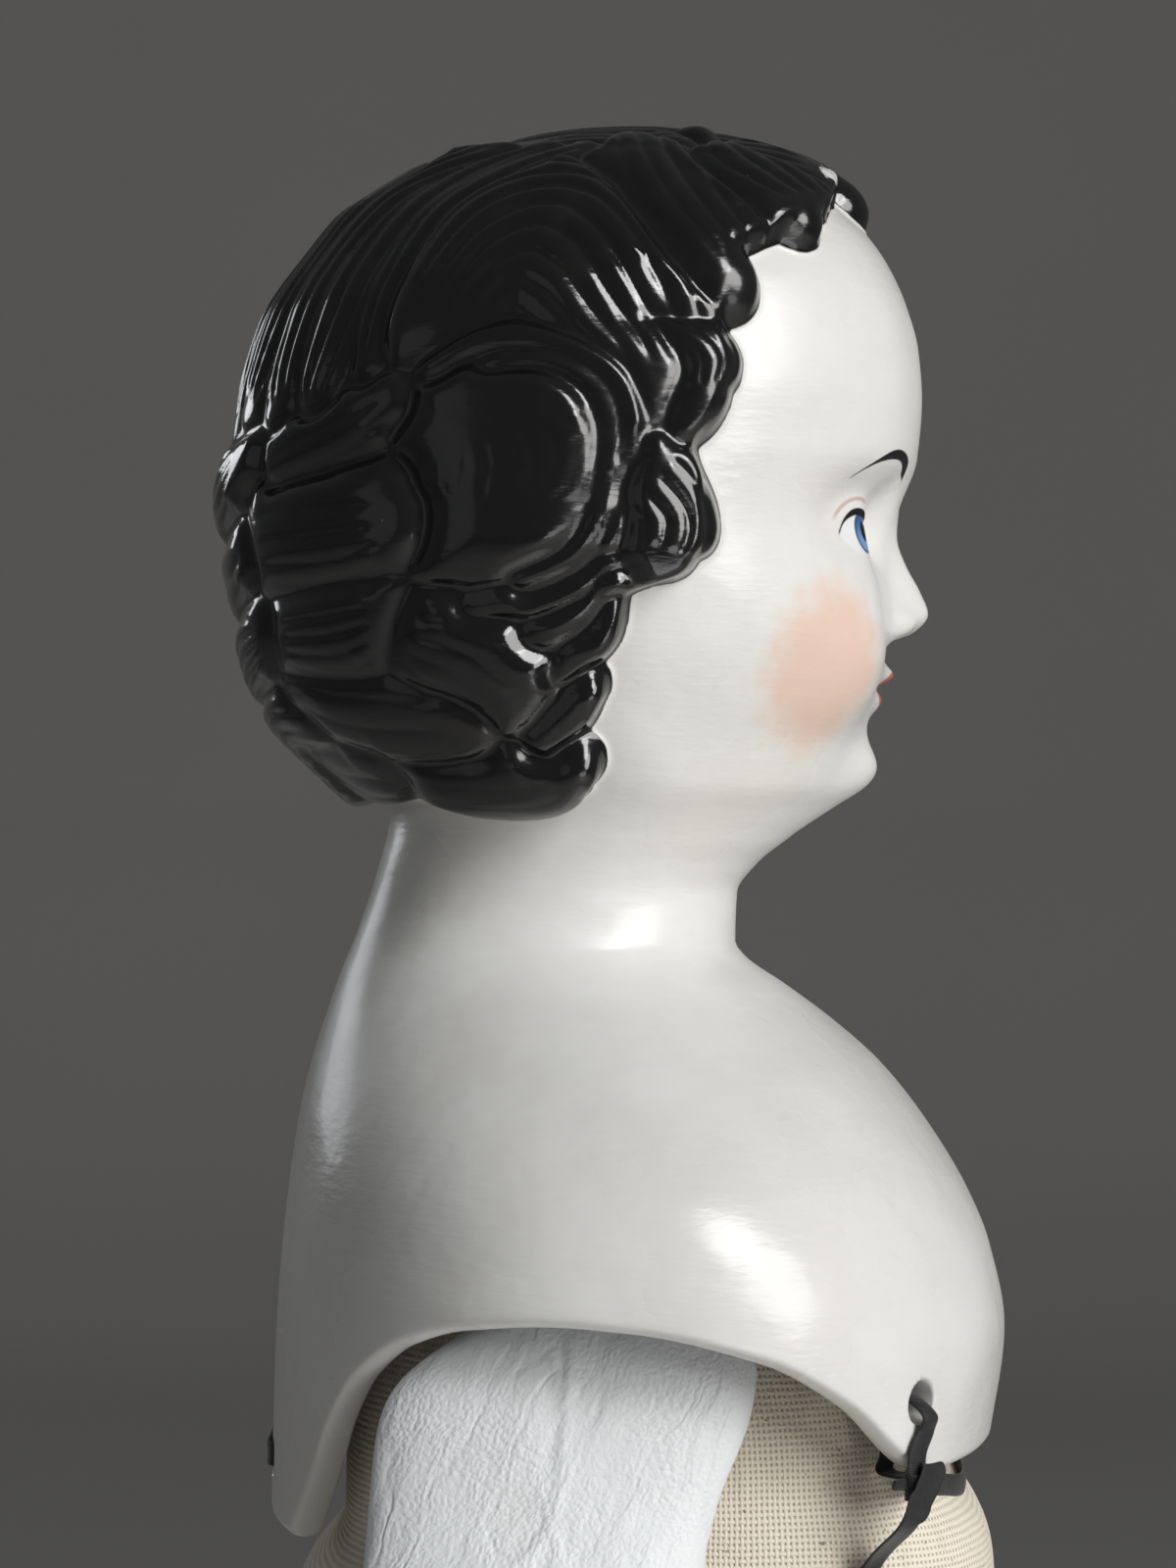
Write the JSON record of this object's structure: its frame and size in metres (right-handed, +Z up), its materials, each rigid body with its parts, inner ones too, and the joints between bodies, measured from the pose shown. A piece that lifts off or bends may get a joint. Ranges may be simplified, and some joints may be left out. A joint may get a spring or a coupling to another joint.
{
  "type": "china doll",
  "caption": "Doll with a glazed china shoulder head tied by ribbon to a stuffed muslin body, with stuffed leather arms and cloth legs that swing on sewn seams.",
  "frame": {"origin": "on the floor under the middle of the doll's box, level with the soles", "axes": "+Z up through the crown, -Y the way the doll faces, +X to the doll's left"},
  "size_m": [0.1532, 0.081, 0.5605],
  "materials": {
    "china": "clear glaze over white, black and painted china",
    "muslin": "unbleached plain weave",
    "leather": "white kid, soft sheen, finely wrinkled",
    "filling": "packed cotton",
    "ribbon": "black grosgrain"
  },
  "bodies": {
    "torso": {"shoulder_head": "china", "torso_front_panel": "muslin", "torso_back_panel": "muslin", "torso_stuffing": "filling", "front_ribbon": "ribbon", "back_ribbon": "ribbon"},
    "left_upper_arm": {"left_upper_arm_leather": "leather", "left_upper_arm_stuffing": "filling"},
    "left_forearm": {"left_forearm_leather": "leather", "left_forearm_stuffing": "filling"},
    "left_thigh": {"left_thigh_muslin": "muslin", "left_thigh_stuffing": "filling"},
    "left_shin": {"left_shin_muslin": "muslin", "left_shin_stuffing": "filling"},
    "right_upper_arm": {"right_upper_arm_leather": "leather", "right_upper_arm_stuffing": "filling"},
    "right_forearm": {"right_forearm_leather": "leather", "right_forearm_stuffing": "filling"},
    "right_thigh": {"right_thigh_muslin": "muslin", "right_thigh_stuffing": "filling"},
    "right_shin": {"right_shin_muslin": "muslin", "right_shin_stuffing": "filling"}
  },
  "joints": [
    {"name": "left_shoulder", "type": "hinge", "parent": "torso", "child": "left_upper_arm", "pos_m": [0.0365, 0.00547, 0.4305], "axis": [-1, 0, 0], "range_deg": [-15, 35]},
    {"name": "left_elbow", "type": "hinge", "parent": "left_upper_arm", "child": "left_forearm", "pos_m": [0.04875, 0.01457, 0.34383], "axis": [-0.9903, 0.0145, -0.1384], "range_deg": [0, 85]},
    {"name": "left_hip", "type": "hinge", "parent": "torso", "child": "left_thigh", "pos_m": [0.0225, 0.00246, 0.268], "axis": [-1, 0, 0], "range_deg": [-25, 85]},
    {"name": "left_knee", "type": "hinge", "parent": "left_thigh", "child": "left_shin", "pos_m": [0.0225, 0.00246, 0.128], "axis": [1, 0, 0], "range_deg": [0, 85]},
    {"name": "right_shoulder", "type": "hinge", "parent": "torso", "child": "right_upper_arm", "pos_m": [-0.0365, 0.00547, 0.4305], "axis": [-1, 0, 0], "range_deg": [-15, 35]},
    {"name": "right_elbow", "type": "hinge", "parent": "right_upper_arm", "child": "right_forearm", "pos_m": [-0.04875, 0.01457, 0.34383], "axis": [-0.9903, -0.0145, 0.1384], "range_deg": [0, 85]},
    {"name": "right_hip", "type": "hinge", "parent": "torso", "child": "right_thigh", "pos_m": [-0.0225, 0.00246, 0.268], "axis": [-1, 0, 0], "range_deg": [-25, 85]},
    {"name": "right_knee", "type": "hinge", "parent": "right_thigh", "child": "right_shin", "pos_m": [-0.0225, 0.00246, 0.128], "axis": [1, 0, 0], "range_deg": [0, 85]}
  ]
}
